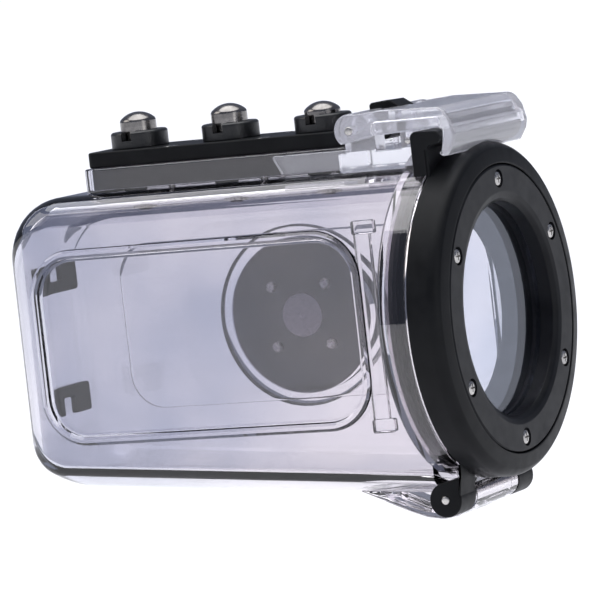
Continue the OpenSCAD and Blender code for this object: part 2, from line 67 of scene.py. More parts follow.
# ---------------------------------------- sizes taken from the frame
shell_low, shell_high = near("housing_shell")
plate_low, plate_high = near("button_plate")
disc_low, disc_high = near("mount_plate")
glass_low, glass_high = near("window_glass")
collars_low, collars_high = near("button_collars")
pads_low, pads_high = near("rear_pads")
posts_low, posts_high = near("post_pins")
lever_high = near("latch_lever")[1]
insert_high = near("mount_insert")[1]
hinge_low = near("hinge_pin")[0]
pin_low = near("lever_pin")[0]
screws_low = near("bezel_screws")[0]
caps = [near(f"button_cap_{i}") for i in (1, 2, 3)]

# The flange, and the door whose spigot goes into its bore
FLANGE_T = 7.2
FLANGE_RIM = 2.7
SPIGOT_GAP = 0.45
DOOR_GAP = 0.3
DOOR_R = near("door_ring")[1].y
FLANGE_FRONT = shell_high.x
FLANGE_BACK = FLANGE_FRONT - FLANGE_T
BORE_R = DOOR_R - FLANGE_RIM
SPIGOT_R = BORE_R - SPIGOT_GAP
DOOR_T = -FLANGE_FRONT - DOOR_GAP

# The window, and the bezel that clamps it
BEZEL_GAP = 0.25
GLASS_LAP = 2.3
SCREW_INSET = 3.5
BEZEL_THREAD_R = 0.95
BEZEL_REST_GAP = 0.05
BEZEL_REST = near("front_bezel")[0].x - BEZEL_REST_GAP
BEZEL_R = near("front_bezel")[1].y + BEZEL_GAP
WINDOW_R = glass_high.y - GLASS_LAP
SCREW_CIRCLE_R = BEZEL_R - SCREW_INSET

# The clear body
WALL = 2.6
BODY_Y = 20.0
ROOF_DROP = 3.7
BODY_TOP = DOOR_R - ROOF_DROP
BACK = shell_low.x
KEEL_SLOPE = math.tan(math.radians(4))
KEEL_DROP = 3.6

# The button bar and its riser
PLATE_Z = plate_high.z
RISER_Z = shell_high.z
BUTTONS = [(low.x + high.x) / 2 for low, high in caps]
SEAT_Y = 7.6
SCREW_SEATS = [((BUTTONS[i] + BUTTONS[i + 1]) / 2, side * SEAT_Y)
               for i in (0, 1) for side in (-1, 1)]

# The two pins, their holes and the knuckles and lugs round them
PIN_R = 1.0
PIN_HOLE_R = 1.05
KNUCKLE_R = 3.9
LUG_R = 4.0
PIVOT = Vector((pin_low.x + PIN_R, 0, pin_low.z + PIN_R))
HINGE = Vector((hinge_low.x + PIN_R, 0, hinge_low.z + PIN_R))
POST_X = (posts_low.x + posts_high.x) / 2
POST_Z = (posts_low.z + posts_high.z) / 2
EAR_IN = 9.9
EAR_OUT = 15.3

# The mounting disc on the far side
MOUNT_X = (disc_low.x + disc_high.x) / 2
MOUNT_Y = disc_low.y
MOUNT_R = (disc_high.x - disc_low.x) / 2
MOUNT_SCREW_OUT = 7.25
MOUNT_SCREWS = [(MOUNT_X + sx * MOUNT_SCREW_OUT, sz * MOUNT_SCREW_OUT)
                for sx in (-1, 1) for sz in (-1, 1)]

# A turned shape stops this far from its axis, and its pole is closed over
POLE = 0.02
SUNK_POLE = 0.05
# The rim of a cutter, which leaves a sharp edge
CRISP = 0.02
# Points this close become one: within a drawn shape, and after shapes are cut and joined
SHAPE_WELD = 1e-4
CUT_WELD = 1e-3


# ---------------------------------------- mesh helpers
def soften(points, radii, steps=6):
    """A closed outline with each corner rounded, to one radius or to a list of them."""
    count = len(points)
    almost_straight = math.pi - 0.02
    most_of_side = 0.49
    if not hasattr(radii, "__len__"):
        radii = [radii] * count
    out = []
    for i, radius in enumerate(radii):
        here = Vector(points[i])
        back = Vector(points[i - 1]) - here
        ahead = Vector(points[(i + 1) % count]) - here
        angle = back.angle(ahead)
        if radius <= 0 or angle > almost_straight:
            out.append(here)
            continue
        run = min(radius / math.tan(angle / 2), most_of_side * back.length,
                  most_of_side * ahead.length)
        back.normalize()
        ahead.normalize()
        centre = here + (back + ahead).normalized() * run / math.cos(angle / 2)
        start = here + back * run - centre
        end = here + ahead * run - centre
        sweep = math.atan2(start.x * end.y - start.y * end.x, start.dot(end))
        for k in range(steps + 1):
            out.append(centre + Matrix.Rotation(sweep * k / steps, 2) @ start)
    return out


def arc(centre, radius, start, end, steps=12):
    """Points along an arc, with its angles in degrees."""
    turn = [math.radians(start + (end - start) * k / steps) for k in range(steps + 1)]
    return [(centre[0] + radius * math.cos(a), centre[1] + radius * math.sin(a)) for a in turn]


def grown(outline, distance):
    """The outline with each side moved outwards by a distance, and sharp corners held back."""
    count = len(outline)
    sharpest = 0.3
    area = sum(outline[i - 1][0] * outline[i][1] - outline[i][0] * outline[i - 1][1]
               for i in range(count))
    side = 1 if area > 0 else -1
    out = []
    for i in range(count):
        here = Vector(outline[i])
        into = (here - Vector(outline[i - 1])).normalized()
        away = (Vector(outline[(i + 1) % count]) - here).normalized()
        one = Vector((into.y, -into.x)) * side
        two = Vector((away.y, -away.x)) * side
        out.append(here + (one + two) * distance / max(1 + one.dot(two), sharpest))
    return out


def skin(name, rows, ring=False):
    """A closed mesh over rows of points: capped at both ends, or joined end to end as a ring."""
    bm = bmesh.new()
    made = [[bm.verts.new(p) for p in row] for row in rows]
    wide = len(rows[0])
    pairs = list(zip(made, made[1:]))
    if ring:
        pairs.append((made[-1], made[0]))
    for one, two in pairs:
        for i in range(wide):
            bm.faces.new((one[i - 1], one[i], two[i], two[i - 1]))
    if not ring:
        bm.faces.new(made[0])
        bm.faces.new(made[-1])
    bmesh.ops.remove_doubles(bm, verts=bm.verts, dist=SHAPE_WELD)
    bmesh.ops.dissolve_degenerate(bm, dist=SHAPE_WELD, edges=bm.edges)
    bmesh.ops.recalc_face_normals(bm, faces=bm.faces)
    return wrapped(name, bm)


def wrapped(name, bm):
    """An object in the scene for a finished bmesh."""
    mesh = bpy.data.meshes.new(name)
    bm.to_mesh(mesh)
    bm.free()
    return in_scene(name, mesh)


def in_scene(name, data):
    """A new object in the scene that holds this mesh, light or camera."""
    obj = bpy.data.objects.new(name, data)
    bpy.context.scene.collection.objects.link(obj)
    return obj


# How a flat outline's two measures and its place along an axis become x, y and z
PLANES = {
    "X": lambda a, b, along: (along, a, b),
    "Y": lambda a, b, along: (a, along, b),
    "Z": lambda a, b, along: (a, b, along),
}


def prism(name, outline, axis, low, high, edge=0.4, steps=3):
    """An outline given thickness along an axis, with both of its rims rounded."""
    place = PLANES[axis]
    rows = []
    for end, way in ((low, 1), (high, -1)):
        quarter = [math.pi / 2 * k / steps for k in range(steps + 1)]
        if way < 0:
            quarter.reverse()
        for a in quarter:
            shape = grown(outline, -edge * (1 - math.sin(a)))
            rows.append([place(p[0], p[1], end + way * edge * (1 - math.cos(a))) for p in shape])
    return skin(name, rows)


def block(name, low, high, corner=0.8, axis="Z", edge=0.4):
    """A box with round corners seen along an axis and round rims."""
    a, b, c = {"X": (1, 2, 0), "Y": (0, 2, 1), "Z": (0, 1, 2)}[axis]
    shape = soften([(low[a], low[b]), (high[a], low[b]), (high[a], high[b]), (low[a], high[b])],
                   corner)
    return prism(name, shape, axis, low[c], high[c], edge)


def lathe(name, profile, axis="X", centre=(0, 0, 0), steps=128, ring=True):
    """A profile of (radius, place along the axis), turned about the axis.

    A ring's profile is closed. Otherwise it starts and ends at the poles.
    """
    place = PLANES[axis]
    rows = []
    for k in range(steps):
        a = 2 * math.pi * k / steps
        rows.append([Vector(place(r * math.cos(a), r * math.sin(a), along)) + Vector(centre)
                     for r, along in profile])
    if ring:
        return skin(name, rows, ring=True)
    return skin(name, [list(column) for column in zip(*rows)])


def rod(name, axis, centre, low, high, radius, edge=0.3, steps=64):
    """A pin with rounded rims, along an axis through a point."""
    middle = Vector(centre)
    middle["XYZ".index(axis)] = 0
    rim_steps = 4
    rim = [(radius - edge + edge * math.sin(a), edge * (1 - math.cos(a)))
           for a in (math.pi / 2 / rim_steps * k for k in range(rim_steps + 1))]
    profile = [(POLE, low)] + [(r, low + d) for r, d in rim]
    profile += [(r, high - d) for r, d in reversed(rim)] + [(POLE, high)]
    return lathe(name, profile, axis, middle, steps, ring=False)


def flattened(obj):
    """The object's mesh with its modifiers built in."""
    seen = bpy.context.evaluated_depsgraph_get()
    mesh = bpy.data.meshes.new_from_object(obj.evaluated_get(seen))
    obj.modifiers.clear()
    obj.data = mesh
    return obj


def worked(base, operation, tools):
    """The base joined to or cut by each tool in turn, which uses the tools up."""
    for tool in tools:
        change = base.modifiers.new("shape", "BOOLEAN")
        change.operation = operation
        change.solver = "MANIFOLD"
        change.object = tool
    flattened(base)
    for tool in tools:
        bpy.data.objects.remove(tool)
    return base


def joined(base, *tools):
    """The base and the tools as one solid."""
    return worked(base, "UNION", tools)


def carved(base, *tools):
    """The base with the tools' shapes cut out of it."""
    return worked(base, "DIFFERENCE", tools)


def gathered(name, pieces):
    """Separate solids kept as one piece."""
    bm = bmesh.new()
    for piece in pieces:
        bm.from_mesh(piece.data)
        bpy.data.objects.remove(piece)
    return wrapped(name, bm)


def settle(obj, name, finish, body, replaces=(), crease=30):
    """Puts a finished piece into the frame, with its shading, material and body; hides what it
    replaces.
    """
    obj.name = name
    obj.data.name = name
    bm = bmesh.new()
    bm.from_mesh(obj.data)
    bmesh.ops.remove_doubles(bm, verts=bm.verts, dist=CUT_WELD)
    bmesh.ops.recalc_face_normals(bm, faces=bm.faces)
    bm.to_mesh(obj.data)
    bm.free()
    obj.data.transform(Matrix.Translation(ORIGIN) @ Matrix.Scale(MM, 4))
    obj.data.shade_smooth()
    obj.data.set_sharp_from_angle(angle=math.radians(crease))
    even = obj.modifiers.new("shading", "WEIGHTED_NORMAL")
    even.keep_sharp = True
    flattened(obj)
    obj.data.materials.clear()
    obj.data.materials.append(finish)
    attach(obj, body)
    if replaces:
        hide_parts(*replaces)
    return obj


# ---------------------------------------- materials
def linear(code):
    """An sRGB hex colour as linear RGBA."""
    parts = [int(code[i:i + 2], 16) / 255 for i in (1, 3, 5)]
    return [c / 12.92 if c <= 0.04045 else ((c + 0.055) / 1.055) ** 2.4 for c in parts] + [1.0]


def add(tree, kind, settings=(), **links):
    """Adds a node, sets its attributes and sockets, and links what is given by socket name."""
    node = tree.nodes.new(kind)
    for key, value in dict(settings).items():
        if hasattr(node, key) and key not in node.inputs:
            setattr(node, key, value)
        else:
            node.inputs[key].default_value = value
    for key, source in links.items():
        tree.links.new(source, node.inputs[key.replace("_", " ")])
    return node


def start(name, settings):
    """A new material with one shader, and the object coordinates that its patterns read."""
    material = bpy.data.materials.new(name)
    material.use_nodes = True
    tree = material.node_tree
    tree.nodes.clear()
    shader = add(tree, "ShaderNodeBsdfPrincipled", settings)
    output = add(tree, "ShaderNodeOutputMaterial")
    tree.links.new(shader.outputs["BSDF"], output.inputs["Surface"])
    where = add(tree, "ShaderNodeTexCoord").outputs["Object"]
    return material, tree, shader, where


def grain(tree, where, size_mm, detail=2.0):
    """A noise whose grains are about this many millimetres across."""
    return add(tree, "ShaderNodeTexNoise", {"Scale": 1 / (size_mm * MM), "Detail": detail},
               Vector=where).outputs["Fac"]


def spread(tree, shader, socket, value, low, high):
    """Drives a shader socket between two values by a pattern."""
    ramp = add(tree, "ShaderNodeMapRange", {"From Min": 0.3, "From Max": 0.7, "To Min": low,
                                            "To Max": high}, Value=value)
    tree.links.new(ramp.outputs["Result"], shader.inputs[socket])


def tint(tree, shader, value, dark, light):
    """Drives the base colour between two colours by a pattern."""
    ramp = add(tree, "ShaderNodeValToRGB", (), Fac=value)
    ramp.color_ramp.elements[0].position = 0.35
    ramp.color_ramp.elements[0].color = linear(dark)
    ramp.color_ramp.elements[1].position = 0.65
    ramp.color_ramp.elements[1].color = linear(light)
    tree.links.new(ramp.outputs["Color"], shader.inputs["Base Color"])


def dent(tree, shader, value, depth_mm, strength=1.0):
    """Turns a pattern into relief of a real depth."""
    bump = add(tree, "ShaderNodeBump", {"Strength": strength, "Distance": depth_mm * MM},
               Height=value)
    tree.links.new(bump.outputs["Normal"], shader.inputs["Normal"])


def lets_light_through(tree, shader, colour):
    """Lamp light passes a clear piece with only a light shadow, as it does through real plastic."""
    first, second = 1, 2
    output = next(node for node in tree.nodes if node.type == "OUTPUT_MATERIAL")
    path = add(tree, "ShaderNodeLightPath")
    thin = add(tree, "ShaderNodeBsdfTransparent", {"Color": linear(colour)})
    mix = add(tree, "ShaderNodeMixShader", (), Fac=path.outputs["Is Shadow Ray"])
    tree.links.new(shader.outputs["BSDF"], mix.inputs[first])
    tree.links.new(thin.outputs["BSDF"], mix.inputs[second])
    tree.links.new(mix.outputs["Shader"], output.inputs["Surface"])


def clear_polycarbonate(name, dark, light, rough, clarity):
    # Injection moulded and polished: clear, with bright rims, a slow waviness and a faint violet
    # cast. Its colour is darkened to a cool blue-grey towards the back of the housing as painted
    # shade
    material, tree, shader, where = start(name, {
        "IOR": 1.585, "Transmission Weight": clarity, "Specular IOR Level": 0.2})
    # Painted shade: along X the colour is pushed towards its darker end, darkest at the back of the
    # housing, on top of a random 40 mm tone
    along = add(tree, "ShaderNodeSeparateXYZ", (), Vector=where).outputs["X"]
    reach = add(tree, "ShaderNodeMapRange", {"From Min": -60 * MM, "From Max": 40 * MM,
                                             "To Min": -0.12, "To Max": 0.22}, Value=along)
    painted_shade_and_tone = add(tree, "ShaderNodeMath", {"operation": "ADD"})
    tree.links.new(reach.outputs["Result"], painted_shade_and_tone.inputs[0])
    tree.links.new(grain(tree, where, 40), painted_shade_and_tone.inputs[1])
    tint(tree, shader, painted_shade_and_tone.outputs["Value"], dark, light)
    spread(tree, shader, "Roughness", grain(tree, where, 12, 3), rough * 0.5, rough * 1.5)
    dent(tree, shader, grain(tree, where, 18, 1), 0.25, 0.35)
    lets_light_through(tree, shader, light)
    return material


def satin_plastic(name, dark, light, rough, grain_mm=0.35, depth=0.012, gloss=0.12):
    # Moulded against a spark-eroded tool: an even fine grain that breaks up the gloss. The real
    # grain is under 0.1 mm, so it is drawn a few times coarser to show
    material, tree, shader, where = start(name, {"IOR": 1.5, "Specular IOR Level": gloss})
    tint(tree, shader, grain(tree, where, 6, 3), dark, light)
    spread(tree, shader, "Roughness", grain(tree, where, 3, 3), rough - 0.06, rough + 0.06)
    dent(tree, shader, grain(tree, where, grain_mm, 1), depth, 0.6)
    return material


def stainless(name, dark, light, rough, pitch_mm=0.12, depth=0.004):
    # Turned or drawn, then polished: fine tool rings and slight clouding. A real ring is as wide
    # as the pitch, and it is drawn about six times wider to show
    material, tree, shader, where = start(name, {"Metallic": 1.0, "Anisotropic": 0.3})
    tint(tree, shader, grain(tree, where, 2.5, 4), dark, light)
    spread(tree, shader, "Roughness", grain(tree, where, 0.8, 4), rough * 0.7, rough * 1.3)
    wave_rate = 20
    rings = add(tree, "ShaderNodeTexWave",
                {"wave_type": "BANDS", "bands_direction": "Z",
                 "Scale": 1 / (pitch_mm * MM * wave_rate), "Distortion": 0.6}, Vector=where)
    dent(tree, shader, rings.outputs["Fac"], depth, 0.3)
    return material


def blasted_metal():
    # Bead-blasted aluminium: grey and slightly pitted, so dull that it hardly mirrors
    material, tree, shader, where = start("bead_blasted_aluminium", {"Metallic": 0.1})
    tint(tree, shader, grain(tree, where, 0.7, 4), "#bdbbc4", "#d0ced6")
    spread(tree, shader, "Roughness", grain(tree, where, 0.5, 2), 0.5, 0.66)
    dent(tree, shader, grain(tree, where, 0.25, 2), 0.02, 0.5)
    return material


def silicone():
    # Moulded silicone rubber: deep black, matt, with a soft bloom
    material, tree, shader, where = start("moulded_silicone_rubber", {"IOR": 1.42})
    tint(tree, shader, grain(tree, where, 2, 4), "#121315", "#1c1d20")
    spread(tree, shader, "Roughness", grain(tree, where, 1.2, 2), 0.6, 0.75)
    dent(tree, shader, grain(tree, where, 0.5, 2), 0.02, 0.5)
    return material


def window_pane():
    # Flat optical glass with a faint blue coating: clean reflections and almost no colour
    material, tree, shader, where = start("coated_optical_glass", {
        "IOR": 1.5, "Transmission Weight": 1.0, "Specular IOR Level": 0.2,
        "Specular Tint": linear("#a9c0ee")})
    tint(tree, shader, grain(tree, where, 25), "#dde3ee", "#e6eaf3")
    spread(tree, shader, "Roughness", grain(tree, where, 4, 4), 0.0, 0.012)
    lets_light_through(tree, shader, "#e6eaf3")
    return material


def studio_paper():
    # Matt photographic background paper
    material, tree, shader, where = start("studio_paper", {"Specular IOR Level": 0.1})
    tint(tree, shader, grain(tree, where, 60, 3), "#f4f4f6", "#f8f8fa")
    spread(tree, shader, "Roughness", grain(tree, where, 5, 2), 0.85, 0.95)
    return material


# The darker colour of each clear plastic is painted shade, laid towards the back of the body; the
# lighter one is its own tint
CLEAR = clear_polycarbonate("clear_moulded_polycarbonate", "#c8c9d4", "#e7e3e7", 0.02, 1.0)
CLEAR_LATCH = clear_polycarbonate("clear_latch_polycarbonate", "#e6e6ee", "#f0f0f5", 0.1, 0.87)
BLACK = satin_plastic("satin_black_abs", "#0f1012", "#151618", 0.42)
COLLAR_BLACK = satin_plastic("textured_black_nylon", "#131416", "#1a1b1d", 0.34, 0.6, 0.07, 0.5)
BEZEL_BLACK = satin_plastic("fine_black_abs", "#121316", "#191a1d", 0.36, 0.3, 0.008)
DISC_GREY = satin_plastic("dark_grey_nylon", "#1c1f27", "#262a33", 0.55, 0.4, 0.02)
STEEL = stainless("turned_stainless_steel", "#aaa8a6", "#c9c6c2", 0.26)
POLISHED = stainless("polished_stainless_steel", "#777472", "#918e8b", 0.2, 0.15, 0.002)
WIRE = stainless("drawn_stainless_wire", "#9a9a9c", "#b8b8ba", 0.3)
INSERT = blasted_metal()
RUBBER = silicone()
PANE = window_pane()


# ---------------------------------------- the clear body
def body_section(x, inset):
    """The body's outline at x, drawn in by inset: flat sides on a keel that sinks to the front."""
    roof_round = 7 - inset
    keel_round = 4.6 - inset
    side = BODY_Y - inset
    top = BODY_TOP - inset
    axis = -KEEL_DROP + (FLANGE_BACK - x) * KEEL_SLOPE
    radius = DOOR_R - inset
    spot = math.degrees(math.asin(side / radius))
    low = axis - math.sqrt(radius * radius - side * side)
    bottom = arc((0, axis), radius, 270 - spot, 270 + spot, 16)
    corners = [(side, top), (-side, top)] + [(-side, low + 0.01)] + bottom[1:-1] + [(side, low)]
    radii = [roof_round, roof_round, keel_round] + [0] * (len(bottom) - 2) + [keel_round]
    return soften(corners, radii, 8)


def body_skin(name, inset, front):
    """The body's rounded block: a straight run, then rows that turn in to the flat back."""
    turn_top = 16.0
    turn_side = 8.0
    turn_low = 14.0
    bulge = 0.1
    steps = 14
    end_side = BODY_Y - turn_side
    end_top = BODY_TOP - turn_top
    back = BACK + inset
    base = body_section(front, inset)
    tail = body_section(BACK + turn_top, inset)
    end_low = min(p[1] for p in tail) + turn_low - inset
    middle = (end_top + end_low) / 2
    half = (end_top - end_low) / 2
    top = BODY_TOP - inset
    low = min(p[1] for p in tail)
    ends = []
    turns = []
    for y, z in tail:
        up = (z - (top + low) / 2) / ((top - low) / 2)
        across = y / (BODY_Y - inset)
        ends.append((across * end_side * (1 - bulge + bulge * (1 - up * up)), middle + up * half))
        share = abs(up) ** 3
        turns.append(turn_side + ((turn_top if up > 0 else turn_low) - turn_side) * share - inset)
    rows = [[(front, y, z) for y, z in base]]
    for k in range(steps + 1):
        a = math.pi / 2 * k / steps
        slip = 1 - math.cos(a)
        rows.append([(back + turn * (1 - math.sin(a)), y + (end[0] - y) * slip,
                      z + (end[1] - z) * slip) for (y, z), end, turn in zip(tail, ends, turns)])
    return skin(name, rows)


def bead(name, outline, y, radius):
    """A round bar that follows a closed outline in a plane across Y."""
    steps = 10
    rows = []
    for k in range(steps):
        a = 2 * math.pi * k / steps
        shape = grown(outline, radius * math.cos(a))
        rows.append([(p[0], y + radius * math.sin(a), p[1]) for p in shape])
    return skin(name, rows, ring=True)


def window_outline(back, front, low, high, radius):
    """The round-cornered outline of a flat window in the body's side, as (x, z)."""
    return soften([(back, low), (front, low), (front, high), (back, high)], radius, 12)


def housing_body():
    """The one clear moulding: body, flange, riser, mounting boss and hinge carrier."""
    riser_half = 11.5
    pocket_half = 9.65
    boss_r = MOUNT_R + 3.1
    boss_face = BODY_Y + 3.2
    belly_half = 11.6
    barrel_half = 11.57
    stem_hole_r = 1.6
    body = body_skin("body", 0, FLANGE_BACK + 0.8)
    flange = lathe("flange", soften([(SUNK_POLE, FLANGE_BACK), (DOOR_R, FLANGE_BACK),
                                     (DOOR_R, FLANGE_FRONT), (SUNK_POLE, FLANGE_FRONT)],
                                    [0, 1.0, 0.3, 0]), steps=160)
    riser = block("riser", (plate_low.x - 1.2, -riser_half, BODY_TOP - 1.2),
                  (plate_high.x + 0.5, riser_half, RISER_Z), 3.0, "Z", 0.5)
    boss = lathe("boss", soften([(SUNK_POLE, BODY_Y - 1), (boss_r, BODY_Y - 1),
                                 (boss_r, boss_face), (SUNK_POLE, boss_face)],
                                [0, 0, 1.2, 0]), "Y", (MOUNT_X, 0, 0), 128)
    carrier = [(HINGE.x - 27, -39.0), (HINGE.x - 20, shell_low.z + 4.7),
               (HINGE.x - 14, shell_low.z + 2.1), (HINGE.x - 10, shell_low.z + 0.7),
               (HINGE.x - 6, shell_low.z + 0.05), (HINGE.x - 2.5, shell_low.z + 0.6),
               (HINGE.x, HINGE.z - 4.0), (FLANGE_FRONT - 0.05, -DOOR_R + 2)]
    belly = prism("belly", soften(carrier, [0, 6, 6, 6, 6, 3, 1, 0]), "Y", -belly_half,
                  belly_half, 2.4, 6)
    barrel = rod("barrel", "Y", HINGE, -barrel_half, barrel_half, LUG_R, 0.35)
    joined(body, flange, riser, boss, belly, barrel)

    hollow = body_skin("hollow", WALL, FLANGE_BACK + 2.5)
    bore = rod("bore", "X", (0, 0, 0), FLANGE_FRONT - 5.8, FLANGE_FRONT + 2, BORE_R, 0.25, 160)
    seat = rod("seat", "Y", (MOUNT_X, 0, 0), MOUNT_Y - 0.02, MOUNT_Y + 9, MOUNT_R + 0.1, 0.1, 128)
    pin_hole = rod("pin_hole", "Y", HINGE, -40, 40, PIN_HOLE_R, 0.1, 32)
    pocket = block("pocket", (plate_low.x + 0.7, -pocket_half, plate_low.z - 0.05),
                   (plate_high.x - 0.7, pocket_half, RISER_Z + 2), 1.0, "Z", 0.1)
    carved(body, hollow, bore, seat, pin_hole, pocket)
    stems = [rod("stem_hole", "Z", (x, 0, 0), BODY_TOP - WALL - 1, RISER_Z, stem_hole_r, 0.05, 32)
             for x in BUTTONS]
    carved(body, *stems)

    near_window = window_outline(back=-113.6, front=-30.2, low=-21.8, high=20.9, radius=9.5)
    recess = prism("recess", near_window, "Y", -BODY_Y - 3, -BODY_Y + 1.0, 0.9, 6)
    far_window = window_outline(back=-111.5, front=-26.0, low=-20.0, high=20.5, radius=8.5)
    relief = prism("relief", far_window, "Y", BODY_Y - WALL - 2, BODY_Y - WALL + 0.7, 0.6, 5)
    carved(body, recess, relief)
    rim = bead("rim", grown(near_window, 0.9), -BODY_Y + 0.15, 1.15)
    rib_y = -BODY_Y + 0.6
    half = 1.6
    upright = block("upright", (-29.6, rib_y, -23.5), (-25.4, -BODY_Y + 4.2, 22.5), 0.9, "Z", 0.5)
    blocks = [block("corner_block", (-30.0, rib_y, z - half), (-24.4, -BODY_Y + 5.0, z + half),
                    0.8, "Z", 0.5) for z in (-23.4, 22.6)]
    joined(body, rim, upright, *blocks)
    return settle(body, "clear_body", CLEAR, "housing", ["housing_shell"], 28)


def mounting_disc():
    """The round plate on the far side, sunk for its four screws."""
    face = disc_high.y
    bore = 5.25
    shank_hole_r = 1.32
    head_hole_r = 2.3
    shape = [(bore, MOUNT_Y), (MOUNT_R, MOUNT_Y), (MOUNT_R, face), (bore, face)]
    disc = lathe("disc", soften(shape, [0.2, 0.5, 0.9, 0.4]), "Y", (MOUNT_X, 0, 0), 128)
    sinks = []
    for x, z in MOUNT_SCREWS:
        spot = (x, 0, z)
        sinks.append(rod("shank_hole", "Y", spot, MOUNT_Y - 1, face + 1, shank_hole_r, 0.05, 32))
        sinks.append(rod("head_hole", "Y", spot, face - 1.6, face + 1, head_hole_r, 0.05, 32))
    carved(disc, *sinks)
    return settle(disc, "mounting_disc", DISC_GREY, "housing", ["mount_plate"])


def threaded_insert():
    """The tripod insert: a turned sleeve with a cut thread and a closed inner face."""
    face = insert_high.y
    bore = 2.6
    depth = 0.45
    pitch = 1.27
    outer = 5.2
    outline = [(SUNK_POLE, MOUNT_Y + 0.15), (0.5, MOUNT_Y + 0.15), (0.7, MOUNT_Y), (outer, MOUNT_Y),
               (outer, face - 0.3), (outer - 0.3, face), (bore + depth + 0.4, face)]
    along = face - 0.4
    while along - pitch > MOUNT_Y + 1.0:
        outline += [(bore + depth, along), (bore, along - pitch / 2)]
        along -= pitch
    outline += [(bore, MOUNT_Y + 0.9), (SUNK_POLE, MOUNT_Y + 0.9)]
    sleeve = lathe("sleeve", outline, "Y", (MOUNT_X, 0, 0), 96)
    return settle(sleeve, "tripod_insert", INSERT, "housing", ["mount_insert"])


def rear_channels():
    """Two soft channels that steady the camera's back, with round corners and a slot each."""
    made = []
    half = pads_high.y
    slot_half = 2.7
    high = pads_high.z
    low = high - 7
    web = low + 2.8
    for side in (-1, 1):
        shape = [(-half, high), (-half, low), (half, low), (half, high), (slot_half, high),
                 (slot_half, web), (-slot_half, web), (-slot_half, high)]
        shape = [(y, z * side) for y, z in shape]
        radii = [0.7, 1.0, 1.0, 0.7, 0.5, 0.6, 0.6, 0.5]
        made.append(prism("channel", soften(shape, radii), "X", pads_low.x, pads_high.x, 0.35))
    return settle(gathered("pads", made), "rear_channels", RUBBER, "housing", ["rear_pads"])


# ---------------------------------------- buttons
def button_bar():
    """The black bar on the riser, with its tongue, its stem holes and sunk screw seats."""
    bar_half = 10
    tongue_half = 9.6
    stem_r = 1.55
    well_r = 3.2
    thread_r = 0.96
    bar = block("bar", (plate_low.x, -bar_half, RISER_Z + 0.05),
                (plate_high.x, bar_half, PLATE_Z), 1.6, "Z", 0.5)
    tongue = block("tongue", (plate_low.x + 0.75, -tongue_half, plate_low.z),
                   (plate_high.x - 0.75, tongue_half, PLATE_Z - 1), 1.0, "Z", 0.1)
    joined(bar, tongue)
    cuts = []
    for x in BUTTONS:
        cuts.append(rod("stem", "Z", (x, 0, 0), plate_low.z - 1, PLATE_Z + 1, stem_r, CRISP, 32))
        cuts.append(rod("well", "Z", (x, 0, 0), PLATE_Z - 2, PLATE_Z + 1, well_r, CRISP, 48))
    for x, y in SCREW_SEATS:
        cone = [(POLE, PLATE_Z - 9), (thread_r, PLATE_Z - 9), (thread_r, PLATE_Z - 1.2),
                (3.2, PLATE_Z + 1), (POLE, PLATE_Z + 1)]
        cuts.append(lathe("seat", cone, "Z", (x, y, 0), 32, ring=False))
    carved(bar, *cuts)
    return settle(bar, "button_bar", BLACK, "housing", ["button_plate"])


def guide_collars():
    """The collar round each cap, notched on both sides."""
    made = []
    inner = 4.65
    outer = 6.8
    notch_half = 1.3
    notch_deep = 2.1
    low = collars_low.z
    high = collars_high.z
    for x in BUTTONS:
        shape = [(inner, low), (outer, low), (outer, high), (inner, high)]
        collar = lathe("collar", soften(shape, [0.1, 0.15, 0.7, 0.5]), "Z", (x, 0, 0), 96)
        notch = block("notch", (x - notch_half, -9, high - notch_deep),
                      (x + notch_half, 9, high + 2), 0.0, "Z", CRISP)
        made.append(carved(collar, notch))
    return settle(gathered("collars", made), "guide_collars", COLLAR_BLACK, "housing",
                  ["button_collars"])


def push_cap(i):
    """A polished cap with its dome, hollow underneath, on a grooved stem."""
    low, high = caps[i]
    radius = 4.3
    rise = 1.9
    stem = 1.5
    groove = 1.1
    hollow = 3.05
    dome = (radius * radius + rise * rise) / (2 * rise)
    foot = PLATE_Z + 1.9
    roof = caps[2][1].z - rise - 1
    spread_angle = math.degrees(math.asin(radius / dome))
    top = arc((0, high.z - dome), dome, 90 - spread_angle, 90, 14)
    top[-1] = (POLE, top[-1][1])
    outline = [(POLE, low.z), (1.3, low.z), (stem, low.z + 0.2), (stem, low.z + 0.75),
               (groove, low.z + 0.8), (groove, low.z + 1.45), (stem, low.z + 1.5), (stem, roof),
               (hollow, roof), (hollow, foot), (3.2, foot), (radius - 0.15, foot),
               (radius, foot + 0.15)]
    outline += [(radius, top[0][1] - 0.35), (radius - 0.05, top[0][1] - 0.12)] + top[1:]
    cap = lathe("cap", outline, "Z", (BUTTONS[i], 0, 0), 96, ring=False)
    return settle(cap, f"push_cap_{i + 1}", POLISHED, f"button_{i + 1}", [f"button_cap_{i + 1}"])


